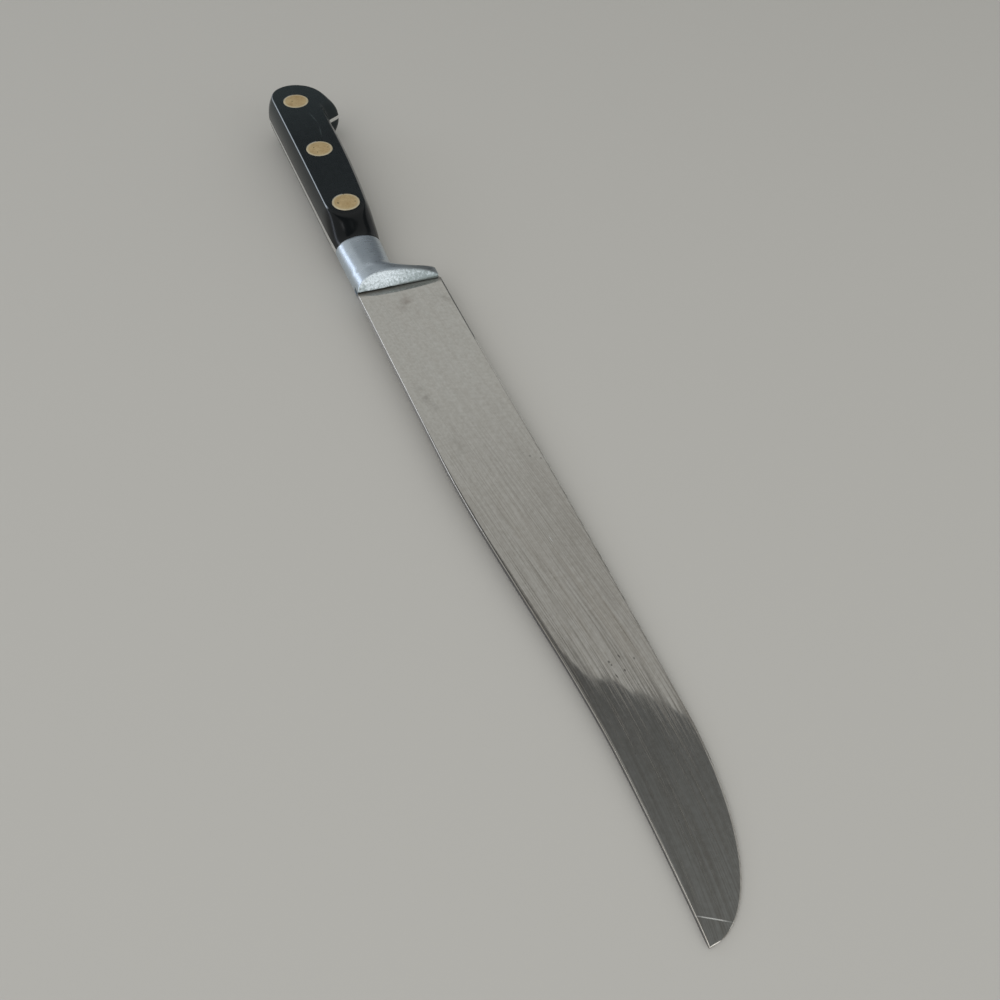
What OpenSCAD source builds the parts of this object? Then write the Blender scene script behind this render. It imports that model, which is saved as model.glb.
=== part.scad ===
// Carving knife with a slim S-curved blade, a cast bolster and two riveted scales.
// The knife lies on its side: X runs from the butt to the tip, Y towards the cutting edge, Z up.

/* [Blade] */
// Length of the blade in front of the bolster
blade_len = 196; // [150:1:260]
// Height of the blade where it leaves the bolster
heel_h = 27.3; // [24.6:0.1:34]
// Slope of the straight part of the spine, in millimetres per 100
spine_slope = 2.6; // [0:0.1:5]
// How far the spine drops in its S-curve
spine_drop = 5.1; // [0:0.1:8]
// Where the S-curve of the spine starts, in front of the bolster
drop_start = 69; // [20:1:80]
// Length of the S-curve of the spine
drop_len = 91; // [40:1:110]
// How far the spine turns up again at the tip
tip_lift = 1.4; // [0:0.1:4]
// How far the cutting edge swells between heel and belly
edge_swell = 1.2; // [0:0.1:3]
// Length of the curved belly at the tip
belly_len = 45; // [25:1:60]
// Thickness of the spine at the bolster
blade_th = 2.5; // [1.8:0.1:4]
// Thickness of the spine at the tip
tip_th = 1.4; // [0.8:0.1:2]
// Thickness behind the sharpened edge
edge_th = 0.4; // [0.2:0.1:0.8]
// Height of the sharpened edge
edge_h = 0.9; // [0.5:0.1:2]

/* [Bolster] */
// Length of the bolster along the knife
bolster_len = 22.3; // [18:0.1:32]
// Width of the collar against the scales
collar_w = 15.1; // [13:0.1:18.5]
// Thickness of the collar against the scales
collar_th = 9.8; // [8:0.1:14]
// Thickness of the bolster at its front face
front_th = 11.2; // [8:0.1:16]
// How far the front face leans back over its height
front_lean = 2.6; // [0.5:0.1:5]
// Length of the wing along the knife at the heel
wing_len = 3.9; // [3:0.1:7]
// Slant of the back of the wing
wing_slant = 3.2; // [1.5:0.1:5]
// How far the heel of the blade stands out of the wing
heel_out = 0.8; // [0:0.1:1.5]

/* [Handle] */
// Length of the handle behind the bolster
handle_len = 91; // [72:0.5:120]
// Thickness of the handle over its two flats
handle_th = 15; // [12.5:0.1:18]
// Thickness of the oval before the flats are ground
oval_th = 23; // [20:0.1:30]
// How far the spine side widens from the bolster to the butt
spine_side_rise = 1.9; // [0:0.1:6]
// How far the belly side swells from the bolster to its widest place
belly_rise = 3.4; // [1:0.1:7]
// Distance from the bolster to that widest place
belly_at = 57; // [40:1:75]
// How far the beak stands out of the belly side
beak_h = 5.2; // [2:0.1:8]
// Distance from the butt to the front of the beak
beak_len = 17; // [14:0.5:20]
// Length of the beak's concave front
beak_throat = 3.9; // [2:0.1:7]
// Length of the round from the butt to the back of the beak
beak_round = 17.5; // [12:0.5:20]
// Length of the round from the butt to the spine side
butt_round = 9.2; // [5:0.1:12]
// Distance from the bolster to where the oval reaches its full thickness
neck_blend = 14.5; // [8:0.5:20]
// Thickness of the tang at the butt
tang_butt_th = 1; // [0.8:0.1:2.5]

/* [Rivets] */
// Diameter of the rivet heads
rivet_head_d = 9.1; // [6:0.1:10]
// Thickness of the rivet heads
rivet_head_h = 2.2; // [1:0.1:3]
// Distance from the bolster to the front rivet
front_rivet_in = 14.7; // [12:0.1:20]
// Distance from the butt to the rear rivet
rear_rivet_in = 11.8; // [9:0.1:16]
// Outside diameter of the hollow shank
socket_d = 5; // [4:0.1:5.5]
// Diameter of the solid shank, and of the bore that it is driven into
post_d = 3.2; // [2.5:0.1:3.5]
// Gap left past the end of each shank
shank_end_gap = 0.6; // [0.3:0.1:1.5]
// Gap round the rivet heads
head_gap = 0.03; // [0.02:0.01:0.1]
// Gap round the hollow shank in scales and tang
shank_gap = 0.15; // [0.1:0.05:0.4]

/* [Hidden] */

steel = "#a8a59c";
cast_metal = "#b9bec2";
black_scale = "#1f2326";
brass = "#ad9160";

// The knife is worked out from the foot of the blade: X is 0 at the bolster's front face, Y is 0 on the line
// of the rivets, and Z is 0 in the middle of the blade's thickness.
bolster_back = -bolster_len;
butt_x = bolster_back - handle_len;
tip_x = blade_len;

// Corners of the ovals, facets of the rivets, and an overrun that takes a cutting shape clear of what it cuts
ring_sides = 40;
round_sides = 48;
overrun = 1;

function clamp01(t) = max(0, min(1, t));
function mix(a, b, t) = a + (b - a) * t;
// Rises from 0 to 1 and is level at both ends
function smooth(t) = let (c = clamp01(t)) c * c * (3 - 2 * c);
// Falls from 1 to 0 as a quarter of an ellipse, fuller the higher its power
function quarter(t, power) = pow(max(0, 1 - pow(clamp01(t), power)), 1 / power);
// Stays near 0 up to t = 0 and then rises as t does, with a soft corner of the given width
function soft_corner(t, width) = width * ln(1 + exp(t / width));

// Outline of the blade. The belly runs from the straight edge to the spine at the tip.
spine_root_y = -7.95;
tip_lift_len = 46;
edge_swell_len = 111;
belly_power = 2.2;
belly_x = tip_x - belly_len;

function spine_y(x) =
  spine_root_y
  + spine_slope * x / 100
  + spine_drop * smooth((x - drop_start) / drop_len)
  - tip_lift * pow(clamp01(1 - (tip_x - x) / tip_lift_len), 2);
function edge_line_y(x) = spine_root_y + heel_h + edge_swell * smooth(x / edge_swell_len);
function edge_y(x) =
  mix(spine_y(tip_x), edge_line_y(x), quarter((x - belly_x) / belly_len, belly_power));

// Section of the blade: a wedge from the spine to the shoulders of the sharpened edge. The spine's thickness
// runs out in a short round at the tip, where the sharpened edge keeps to its share of what is left.
tip_round_len = 4;
tip_round_power = 3;
most_bevel_share = 1 / 3;
most_edge_share = 0.6;

function spine_th(x) =
  mix(blade_th, tip_th, clamp01(x / blade_len))
  * quarter(1 - (tip_x - x) / tip_round_len, tip_round_power);
function blade_ring(x, inset) =
  let (
    spine = spine_y(x) + inset,
    edge = edge_y(x) - inset,
    shoulder = edge - min(edge_h, (edge - spine) * most_bevel_share),
    half_spine = spine_th(x) / 2,
    half_edge = min(edge_th, spine_th(x) * most_edge_share) / 2
  )
  [
    [x, spine, -half_spine],
    [x, shoulder, -half_edge],
    [x, edge, 0],
    [x, shoulder, half_edge],
    [x, spine, half_spine]
  ];

// Outline of the handle, at the middle of its thickness. Its rounds at the butt meet at one height.
collar_mid_y = -0.95;
collar_spine_y = collar_mid_y - collar_w / 2;
collar_belly_y = collar_mid_y + collar_w / 2;
butt_power = 2.2;
butt_th_power = 4;
butt_mid_y = 0;

function back_from_bolster(x) = bolster_back - x;
function butt_fade(x, length, power) = quarter(1 - (x - butt_x) / length, power);
function plain_spine_side(x) = collar_spine_y - spine_side_rise * back_from_bolster(x) / handle_len;
function plain_grip_side(x) =
  collar_belly_y + belly_rise * (1 - pow(1 - clamp01(back_from_bolster(x) / belly_at), 2));
function plain_belly_side(x) =
  plain_grip_side(x) + beak_h * smooth((butt_x + beak_len - x) / beak_throat);
function handle_spine_side(x) =
  mix(butt_mid_y, plain_spine_side(x), butt_fade(x, butt_round, butt_power));
function handle_belly_side(x) =
  mix(butt_mid_y, plain_belly_side(x), butt_fade(x, beak_round, butt_power));
// The thickest place lies midway across the grip, and the beak doesn't shift it
function handle_crest_y(x) =
  mix(butt_mid_y, (plain_spine_side(x) + plain_grip_side(x)) / 2, butt_fade(x, butt_round, butt_power));
// The thickness holds on almost to the butt, so the flats reach nearly to its edge
function handle_oval_th(x) =
  mix(collar_th, oval_th, smooth(back_from_bolster(x) / neck_blend))
  * butt_fade(x, butt_round, butt_th_power);

// Outline and thickness of the bolster. The wing climbs from its foot at the collar to the heel, and its
// section turns from the collar's oval into a flatter shape whose crest lies near the rivet line.
wing_foot_y = 5.8;
wing_corner = 0.6;
wing_reach = 1.4;
wing_power = 1.73;
wing_crest_y = 0.3;
wing_full_h = 6;
collar_draw_in = 0.8;
heel_y = spine_root_y + heel_h - heel_out;
wing_foot_x = -wing_len - (heel_y - wing_foot_y) / wing_slant;

function along_bolster(x) = smooth((x - bolster_back) / bolster_len);
function wing_h(x) = wing_slant * soft_corner(x - wing_foot_x, wing_corner);
function wing_share(x) = smooth(wing_h(x) / wing_full_h);
function bolster_th(x) = mix(collar_th, front_th, along_bolster(x));
function bolster_spine_side(x) = mix(collar_spine_y, spine_root_y, along_bolster(x));
function bolster_belly_side(x) =
  min(collar_belly_y - collar_draw_in * along_bolster(x) + wing_h(x), heel_y + wing_reach);

// Places of the rivets along the knife
front_rivet_x = bolster_back - front_rivet_in;
rear_rivet_x = butt_x + rear_rivet_in;
rivet_xs = [front_rivet_x, (front_rivet_x + rear_rivet_x) / 2, rear_rivet_x];

// Place of the whole knife: its box stands on the middle of its lower side
outline_count = 60;
outline_steps = [for (i = [0:outline_count]) i / outline_count];
knife_max_y = max([for (t = outline_steps) edge_y(t * tip_x)]);
knife_min_y = min([for (t = outline_steps) handle_spine_side(mix(bolster_back, butt_x, t))]);
origin_x = (tip_x + butt_x) / 2;
origin_y = (knife_max_y + knife_min_y) / 2;

module placed() {
  translate([-origin_x, -origin_y, handle_th / 2]) children();
}

// One closed skin over rings that all have the same number of points, closed flat at both ends
module skin(rings) {
  n = len(rings[0]);
  last = len(rings) - 1;
  points = [for (ring = rings) each ring];
  sides = [
    for (r = [0:last - 1], i = [0:n - 1])
    let (j = (i + 1) % n, a = r * n + i, b = r * n + j, c = a + n, d = b + n)
    each [[a, d, b], [a, c, d]]
  ];
  start_cap = [for (i = [0:n - 1]) i];
  end_cap = [for (i = [n - 1:-1:0]) last * n + i];
  polyhedron(points, concat([start_cap], sides, [end_cap]), convexity = 6);
}

// A ring square to X: half an ellipse on the spine side of its crest, and on the belly side a half oval of
// the given power, which is pointed below 2
function oval_ring(x, spine_side, crest, belly_side, th, power) = [
  for (i = [0:ring_sides - 1])
  let (
    angle = 360 * i / ring_sides,
    c = cos(angle),
    s = sin(angle),
    bend = 2 / (c > 0 ? power : 2),
    reach = c > 0 ? belly_side - crest : crest - spine_side
  )
  [x, crest + reach * sign(c) * pow(abs(c), bend), th / 2 * sign(s) * pow(abs(s), bend)]
];

// A bar right across the knife whose side view is the given outline
module side_bar(outline) {
  across = 200;
  rotate([90, 0, 0]) linear_extrude(height = across, center = true) polygon(outline);
}

function handle_ring(x) =
  oval_ring(x, handle_spine_side(x), handle_crest_y(x), handle_belly_side(x), handle_oval_th(x), 2);

// The whole handle before it is ground flat, with its rings close together round the butt and the beak. The
// first ring stops just short of the butt, so that it keeps a little width.
module handle_oval() {
  steps = 9;
  first_angle = 3;
  beak_front = butt_x + beak_len + overrun;
  blend_back = bolster_back - neck_blend;
  butt_xs = [for (i = [0:steps]) butt_x + butt_round * (1 - cos(mix(first_angle, 90, i / steps)))];
  beak_xs = [for (i = [1:steps]) mix(butt_x + butt_round, beak_front, i / steps)];
  grip_xs = [for (i = [1:steps]) mix(beak_front, blend_back, i / steps)];
  blend_xs = [for (i = [1:steps]) mix(blend_back, bolster_back, i / steps)];
  skin([for (x = concat(butt_xs, beak_xs, grip_xs, blend_xs)) handle_ring(x)]);
}

// Half the thickness of the tang, which tapers from the bolster to the butt
function tang_half(x) = mix(blade_th, tang_butt_th, back_from_bolster(x) / handle_len) / 2;
past_butt = butt_x - overrun;

module tang() {
  intersection() {
    handle_oval();
    side_bar([
      [bolster_back, tang_half(bolster_back)],
      [past_butt, tang_half(past_butt)],
      [past_butt, -tang_half(past_butt)],
      [bolster_back, -tang_half(bolster_back)]
    ]);
  }
}

// The root of the blade reaches back into the bolster, and the neck runs on from it into the tang
root_depth = 3;
neck_inset = 2;
neck_thinner = 0.2;
neck_lap = 2;

module neck() {
  neck_start = bolster_back - neck_lap;
  neck_end = neck_lap - root_depth;
  translate([neck_start, collar_spine_y + neck_inset, -(blade_th - neck_thinner) / 2])
    cube([neck_end - neck_start, collar_w - 2 * neck_inset, blade_th - neck_thinner]);
}

// The last ring stops just short of the tip, so that it keeps a little width
module blade_plate() {
  straight_steps = 44;
  belly_steps = 16;
  last_angle = 89.2;
  straight_xs = [for (i = [0:straight_steps]) belly_x * i / straight_steps];
  belly_xs = [for (i = [1:belly_steps]) belly_x + belly_len * sin(last_angle * i / belly_steps)];
  skin(concat(
    [blade_ring(-root_depth, root_depth / 2)],
    [for (x = concat(straight_xs, belly_xs)) blade_ring(x, 0)]
  ));
}

module rivet_hole(x, d, bottom, top) {
  translate([x, 0, bottom]) cylinder(h = top - bottom, d = d, $fn = round_sides);
}

module blade() {
  color(steel) placed() difference() {
    union() {
      blade_plate();
      neck();
      tang();
    }
    for (x = rivet_xs) rivet_hole(x, socket_d + 2 * shank_gap, -handle_th, handle_th);
  }
}

// The bolster before its front face and heel are cut, with its rings close together along the wing
module bolster_blank() {
  collar_steps = 5;
  wing_steps = 18;
  wing_lead = 3;
  wing_start = wing_foot_x - wing_lead;
  wing_end = wing_corner - wing_len;
  collar_xs = [for (i = [0:collar_steps - 1]) mix(bolster_back, wing_start, i / collar_steps)];
  wing_xs = [for (i = [0:wing_steps]) mix(wing_start, wing_end, i / wing_steps)];
  skin([
    for (x = concat(collar_xs, wing_xs, [wing_end / 2, overrun]))
    let (share = wing_share(x), low = bolster_spine_side(x), crest = (low + collar_belly_y) / 2)
    oval_ring(
      x, low, mix(crest, wing_crest_y, share), bolster_belly_side(x), bolster_th(x), mix(2, wing_power, share)
    )
  ]);
}

module bolster() {
  face = blade_th / 2;
  top = front_th / 2 + overrun;
  lean = front_lean * (top - face) / (front_th / 2 - face);
  back = bolster_back - overrun;
  color(cast_metal) placed() difference() {
    intersection() {
      bolster_blank();
      side_bar([[back, -top], [-lean, -top], [0, -face], [0, face], [-lean, top], [back, top]]);
      translate([back, heel_y - 2 * heel_h, -top]) cube([-back, 2 * heel_h, 2 * top]);
    }
    blade_plate();
    neck();
  }
}

// One scale: the oval above the tang, ground flat, drilled and counterbored
module scale_blank() {
  difference() {
    intersection() {
      handle_oval();
      side_bar([
        [bolster_back, tang_half(bolster_back)],
        [past_butt, tang_half(past_butt)],
        [past_butt, handle_th / 2],
        [bolster_back, handle_th / 2]
      ]);
    }
    for (x = rivet_xs) {
      rivet_hole(x, socket_d + 2 * shank_gap, 0, handle_th);
      rivet_hole(x, rivet_head_d + 2 * head_gap, handle_th / 2 - rivet_head_h, handle_th);
    }
  }
}

module near_scale() {
  color(black_scale) placed() scale_blank();
}

module far_scale() {
  color(black_scale) placed() mirror([0, 0, 1]) scale_blank();
}

// Each shank reaches from its own head almost to the underside of the other
head_foot_z = handle_th / 2 - rivet_head_h;
shank_len = 2 * head_foot_z - shank_end_gap;

// Upper half of a rivet: the near head with the solid shank
module rivet_post(index) {
  color(brass) placed() translate([rivet_xs[index], 0, 0]) union() {
    translate([0, 0, head_foot_z]) cylinder(h = rivet_head_h, d = rivet_head_d, $fn = round_sides);
    translate([0, 0, head_foot_z - shank_len]) cylinder(h = shank_len, d = post_d, $fn = round_sides);
  }
}

// Lower half of a rivet: the far head with the hollow shank
module rivet_socket(index) {
  color(brass) placed() translate([rivet_xs[index], 0, -head_foot_z]) difference() {
    union() {
      translate([0, 0, -rivet_head_h]) cylinder(h = rivet_head_h, d = rivet_head_d, $fn = round_sides);
      cylinder(h = shank_len, d = socket_d, $fn = round_sides);
    }
    cylinder(h = shank_len + overrun, d = post_d, $fn = round_sides);
  }
}

module front_rivet_post() { rivet_post(0); }
module middle_rivet_post() { rivet_post(1); }
module rear_rivet_post() { rivet_post(2); }
module front_rivet_socket() { rivet_socket(0); }
module middle_rivet_socket() { rivet_socket(1); }
module rear_rivet_socket() { rivet_socket(2); }

blade();
bolster();
near_scale();
far_scale();
front_rivet_post();
middle_rivet_post();
rear_rivet_post();
front_rivet_socket();
middle_rivet_socket();
rear_rivet_socket();
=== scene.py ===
import math

import bmesh
import bpy
import numpy as np
from mathutils import Matrix, Vector, noise


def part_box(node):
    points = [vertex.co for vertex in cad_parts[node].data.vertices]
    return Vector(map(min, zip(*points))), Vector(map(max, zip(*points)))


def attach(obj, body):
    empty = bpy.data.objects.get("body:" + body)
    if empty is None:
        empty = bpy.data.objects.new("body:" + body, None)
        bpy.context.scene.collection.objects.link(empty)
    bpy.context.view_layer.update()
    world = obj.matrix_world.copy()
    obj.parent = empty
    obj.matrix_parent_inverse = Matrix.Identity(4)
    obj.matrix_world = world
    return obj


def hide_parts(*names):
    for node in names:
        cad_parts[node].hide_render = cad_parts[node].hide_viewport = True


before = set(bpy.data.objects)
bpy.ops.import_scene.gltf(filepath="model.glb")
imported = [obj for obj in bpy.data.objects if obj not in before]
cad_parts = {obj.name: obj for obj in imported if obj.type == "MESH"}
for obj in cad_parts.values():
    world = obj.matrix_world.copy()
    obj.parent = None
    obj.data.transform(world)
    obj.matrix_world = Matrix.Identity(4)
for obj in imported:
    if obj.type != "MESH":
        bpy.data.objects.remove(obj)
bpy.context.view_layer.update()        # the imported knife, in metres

# Shapes are in millimetres from the foot of the blade, as in the part's source: X is 0 at the bolster's
# front face, Y is 0 on the line of the rivets, and Z is 0 in the middle of the blade's thickness.
MM = 0.001
HANDLE_TH = (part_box("near_scale")[1].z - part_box("far_scale")[0].z) / MM
RIVET_NAMES = ("front", "middle", "rear")
rivet_boxes = [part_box(name + "_rivet_post") for name in RIVET_NAMES]
knife_origin = Vector((
    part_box("bolster")[1].x,
    (rivet_boxes[0][0].y + rivet_boxes[0][1].y) / 2,
    HANDLE_TH * MM / 2,
))
rivet_xs = [((low.x + high.x) / 2 - knife_origin.x) / MM for low, high in rivet_boxes]

# Blade
BLADE_LEN = 196
HEEL_H = 27.3
SPINE_ROOT_Y = -7.95
SPINE_SLOPE = 2.6
SPINE_DROP = 5.1
DROP_START = 69
DROP_LEN = 91
TIP_LIFT = 1.4
TIP_LIFT_LEN = 46
EDGE_SWELL = 1.2
EDGE_SWELL_LEN = 111
BELLY_LEN = 45
BELLY_POWER = 2.2
BLADE_TH = 2.5
TIP_TH = 1.4
TIP_ROUND_LEN = 4
TIP_ROUND_POWER = 3
EDGE_TH = 0.28
EDGE_H = 0.36
ROOT_DEPTH = 3
ROOT_INSET = 1.5
NECK_INSET = 2
NECK_HALF = BLADE_TH / 2 - 0.1
SLOT_GAP = 0.01

# Finish of the blade: eased spine corners, and a face that buffing has rolled off towards the spine
SPINE_EASE = 0.22
EASE_POWER = 1.35
ROLL_W = 2.8
ROLL_DROP = 0.09

# Bolster
BOLSTER_LEN = 22.3
COLLAR_W = 15.1
COLLAR_TH = 9.8
COLLAR_MID_Y = -0.95
COLLAR_DRAW_IN = 0.8
FRONT_TH = 11.2
FRONT_LEAN = 2.6
WING_LEN = 3.9
WING_SLANT = 3.2
WING_FOOT_Y = 5.8
WING_CORNER = 0.6
WING_REACH = 1.4
WING_POWER = 1.73
WING_CREST_Y = 0.3
WING_FULL_H = 6
HEEL_OUT = 0.8
RIM_ROUND = 0.35
SEAM_W = 0.09
SEAM_DEPTH = 0.22

# Handle
HANDLE_LEN = 91
OVAL_TH = 23
SPINE_SIDE_RISE = 1.895
BELLY_RISE = 3.4
BELLY_AT = 57
BEAK_H = 5.2
BEAK_LEN = 17
BEAK_THROAT = 3.9
BEAK_ROUND = 17.5
BUTT_ROUND = 9.2
BUTT_POWER = 2.2
BUTT_TH_POWER = 4
NECK_BLEND = 14.5
TANG_BUTT_TH = 1

# Finish of the handle: the flats end in a crisp edge along the grip and melt into the oval at the front
GRIP_EDGE = 0.11
FRONT_MELT = 0.75
MELT_START = 5
MELT_LEN = 12
MOST_CREST = math.radians(80)

# Rivets
HEAD_D = (rivet_boxes[0][1].x - rivet_boxes[0][0].x) / MM
HEAD_H = 2.2
HEAD_GAP = 0.03
HEAD_EASE = 0.22
HEAD_CROWN = 0.03
SHANK_END_GAP = 0.6
SOCKET_D = 5
POST_D = 3.2
SHANK_GAP = 0.15

BOLSTER_BACK = -BOLSTER_LEN
BUTT_X = BOLSTER_BACK - HANDLE_LEN
TIP_X = BLADE_LEN
BELLY_X = TIP_X - BELLY_LEN
COLLAR_SPINE_Y = COLLAR_MID_Y - COLLAR_W / 2
COLLAR_BELLY_Y = COLLAR_MID_Y + COLLAR_W / 2
HEEL_Y = SPINE_ROOT_Y + HEEL_H - HEEL_OUT
WING_FOOT_X = -WING_LEN - (HEEL_Y - WING_FOOT_Y) / WING_SLANT
FLAT_Z = HANDLE_TH / 2
SLOT_SLOPE = (BLADE_TH - EDGE_TH) / 2 / (HEEL_H - EDGE_H)


def clamp01(t):
    return np.clip(t, 0.0, 1.0)


def mix(a, b, t):
    return a + (b - a) * t


def smooth(t):
    """Rises from 0 to 1 and is level at both ends."""
    c = clamp01(t)
    return c * c * (3 - 2 * c)


def quarter(t, power):
    """Falls from 1 to 0 as a quarter of an ellipse, fuller the higher its power."""
    return (1 - clamp01(t) ** power) ** (1 / power)


def soft_corner(t, width):
    """Stays near 0 up to t = 0 and then rises as t does."""
    return width * np.logaddexp(0, t / width)


def soft_min(a, b, width):
    """The lower of two heights, with a soft edge where they cross."""
    return b - soft_corner(b - a, width)


def gather(count, power):
    """Steps from 0 to 1 that crowd together towards 1."""
    return 1 - (1 - np.linspace(0, 1, count)) ** power


# Outlines, as in the part's source

def spine_y(x):
    return (
        SPINE_ROOT_Y
        + SPINE_SLOPE * x / 100
        + SPINE_DROP * smooth((x - DROP_START) / DROP_LEN)
        - TIP_LIFT * clamp01(1 - (TIP_X - x) / TIP_LIFT_LEN) ** 2
    )


def edge_y(x):
    line = SPINE_ROOT_Y + HEEL_H + EDGE_SWELL * smooth(x / EDGE_SWELL_LEN)
    return mix(spine_y(TIP_X), line, quarter((x - BELLY_X) / BELLY_LEN, BELLY_POWER))


def spine_th(x):
    plain = mix(BLADE_TH, TIP_TH, clamp01(x / BLADE_LEN))
    return plain * quarter(1 - (TIP_X - x) / TIP_ROUND_LEN, TIP_ROUND_POWER)


def tang_half(x):
    return mix(BLADE_TH, TANG_BUTT_TH, (BOLSTER_BACK - x) / HANDLE_LEN) / 2


def butt_fade(x, length, power=BUTT_POWER):
    return quarter(1 - (x - BUTT_X) / length, power)


def plain_spine_side(x):
    return COLLAR_SPINE_Y - SPINE_SIDE_RISE * (BOLSTER_BACK - x) / HANDLE_LEN


def plain_grip_side(x):
    return COLLAR_BELLY_Y + BELLY_RISE * (1 - (1 - clamp01((BOLSTER_BACK - x) / BELLY_AT)) ** 2)


def handle_spine_side(x):
    return plain_spine_side(x) * butt_fade(x, BUTT_ROUND)


def handle_belly_side(x):
    beak = BEAK_H * smooth((BUTT_X + BEAK_LEN - x) / BEAK_THROAT)
    return (plain_grip_side(x) + beak) * butt_fade(x, BEAK_ROUND)


def handle_crest_y(x):
    return (plain_spine_side(x) + plain_grip_side(x)) / 2 * butt_fade(x, BUTT_ROUND)


def handle_oval_half(x):
    plain = mix(COLLAR_TH, OVAL_TH, smooth((BOLSTER_BACK - x) / NECK_BLEND))
    return plain * butt_fade(x, BUTT_ROUND, BUTT_TH_POWER) / 2


def along_bolster(x):
    return smooth((x - BOLSTER_BACK) / BOLSTER_LEN)


def wing_h(x):
    return WING_SLANT * soft_corner(x - WING_FOOT_X, WING_CORNER)


# Meshes

def new_piece(name, points, faces, slot):
    """A mesh piece from points in millimetres, which rides on the knife's one body."""
    mesh = bpy.data.meshes.new(name)
    place = np.asarray(points, float).reshape(-1, 3) * MM + np.array(knife_origin)
    mesh.from_pydata(place.tolist(), [], faces)
    shell = bmesh.new()
    shell.from_mesh(mesh)
    bmesh.ops.remove_doubles(shell, verts=shell.verts, dist=1e-7)
    bmesh.ops.recalc_face_normals(shell, faces=shell.faces)
    shell.to_mesh(mesh)
    shell.free()
    piece = bpy.data.objects.new(name, mesh)
    bpy.context.scene.collection.objects.link(piece)
    if slot:
        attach(piece, "root")
    return piece


def skin(name, rings, slot):
    """A closed skin over rings that all have the same number of points."""
    count, corners = len(rings), len(rings[0])
    faces = [
        (r * corners + i, r * corners + j, (r + 1) * corners + j, (r + 1) * corners + i)
        for r in range(count - 1)
        for i, j in zip(range(corners), [*range(1, corners), 0])
    ]
    faces.append(tuple(range(corners)))
    faces.append(tuple(range((count - 1) * corners, count * corners)))
    return new_piece(name, rings, faces, slot)


def turned(name, x, profile, slot, sides=64):
    """A piece turned on a lathe from a profile of radius and height, whose first and last radius are 0."""
    turn = np.linspace(0, 2 * math.pi, sides, endpoint=False)
    points = [
        (x + radius * math.cos(angle), radius * math.sin(angle), z)
        for radius, z in profile
        for angle in turn
    ]
    faces = [
        (r * sides + i, r * sides + (i + 1) % sides, (r + 1) * sides + (i + 1) % sides, (r + 1) * sides + i)
        for r in range(len(profile) - 1)
        for i in range(sides)
    ]
    return new_piece(name, points, faces, slot)


def cut(piece, cutters):
    """Takes the cutters out of the piece and removes them."""
    for cutter in cutters:
        step = piece.modifiers.new("cut", "BOOLEAN")
        step.operation = "DIFFERENCE"
        step.solver = "EXACT"
        step.object = cutter
    bpy.context.view_layer.update()
    seen = piece.evaluated_get(bpy.context.evaluated_depsgraph_get())
    mesh = bpy.data.meshes.new_from_object(seen)
    piece.modifiers.clear()
    piece.data = mesh
    for cutter in cutters:
        bpy.data.objects.remove(cutter)


def rod(x, diameter, bottom, top):
    """A plain cutter for a hole square to the flats."""
    radius = diameter / 2
    return turned("cutter", x, [(0, bottom), (radius, bottom), (radius, top), (0, top)], None)


def slot_half(y):
    """Half the height of the slot in the bolster, which tapers with the blade."""
    return BLADE_TH / 2 + SLOT_GAP - SLOT_SLOPE * (y - SPINE_ROOT_Y)


def wedge(x_span, y_span, halves):
    """A cutter with flat faces, as high at each end of its Y span as the two halves say."""
    corners = [(x, y, z * half) for x in x_span for y, half in zip(y_span, halves) for z in (-1, 1)]
    faces = [(0, 1, 3, 2), (4, 6, 7, 5), (0, 4, 5, 1), (2, 3, 7, 6), (0, 2, 6, 4), (1, 5, 7, 3)]
    return new_piece("cutter", corners, faces, None)


def finish_faces(piece, material, sharp):
    """Smooth shading that breaks at edges over the given angle."""
    piece.data.materials.clear()
    piece.data.materials.append(material)
    piece.data.shade_smooth()
    piece.data.set_sharp_from_angle(angle=math.radians(sharp))


# Stations along the handle, close together round the butt, in the beak's throat and where the flats start

def handle_stations():
    first_turn = 3
    throat_end = BUTT_X + BEAK_LEN + 1
    turns = np.radians(np.linspace(first_turn, 90, 28))
    butt = BUTT_X + BUTT_ROUND * (1 - np.cos(turns))
    beak = np.linspace(BUTT_X + BUTT_ROUND, throat_end, 30)[1:]
    grip = np.linspace(throat_end, BOLSTER_BACK - NECK_BLEND, 36)[1:]
    blend = np.linspace(BOLSTER_BACK - NECK_BLEND, BOLSTER_BACK, 30)[1:]
    return np.concatenate([butt, beak, grip, blend])


def handle_oval_y(x, angles, inset=0):
    """Across the handle's oval at each angle, which is 0 on the belly side."""
    low, crest, high = handle_spine_side(x) + inset, handle_crest_y(x), handle_belly_side(x) - inset
    c = np.cos(angles)
    return crest + np.where(c > 0, high - crest, crest - low) * c


def scale_ring(x, inset):
    """Outline of the near scale square to X: up one wall, over the flat, down the other wall, and back on
    the tang."""
    half, foot_z = handle_oval_half(x) - inset, tang_half(x)
    foot = math.asin(min(1, foot_z / half))
    crest = max(foot, math.asin(min(FLAT_Z / half, math.sin(MOST_CREST))))
    towards_crest = gather(13, 2.5)
    wall = mix(foot, crest, towards_crest)
    flat = mix(crest, math.pi / 2, 1 - towards_crest[::-1])[1:]
    rise = np.concatenate([wall, flat])
    angles = np.concatenate([math.pi - rise, rise[:-1][::-1]])
    melt = mix(FRONT_MELT, GRIP_EDGE, smooth((BOLSTER_BACK - MELT_START - x) / MELT_LEN))
    y = handle_oval_y(x, angles, inset)
    z = np.maximum(soft_min(half * np.sin(angles), FLAT_Z, melt), foot_z)
    back = np.linspace(y[-1], y[0], 8)[1:-1]
    y = np.concatenate([y, back])
    z = np.concatenate([z, np.full(len(back), foot_z)])
    return np.column_stack([np.full(len(y), x), y, z])


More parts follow.
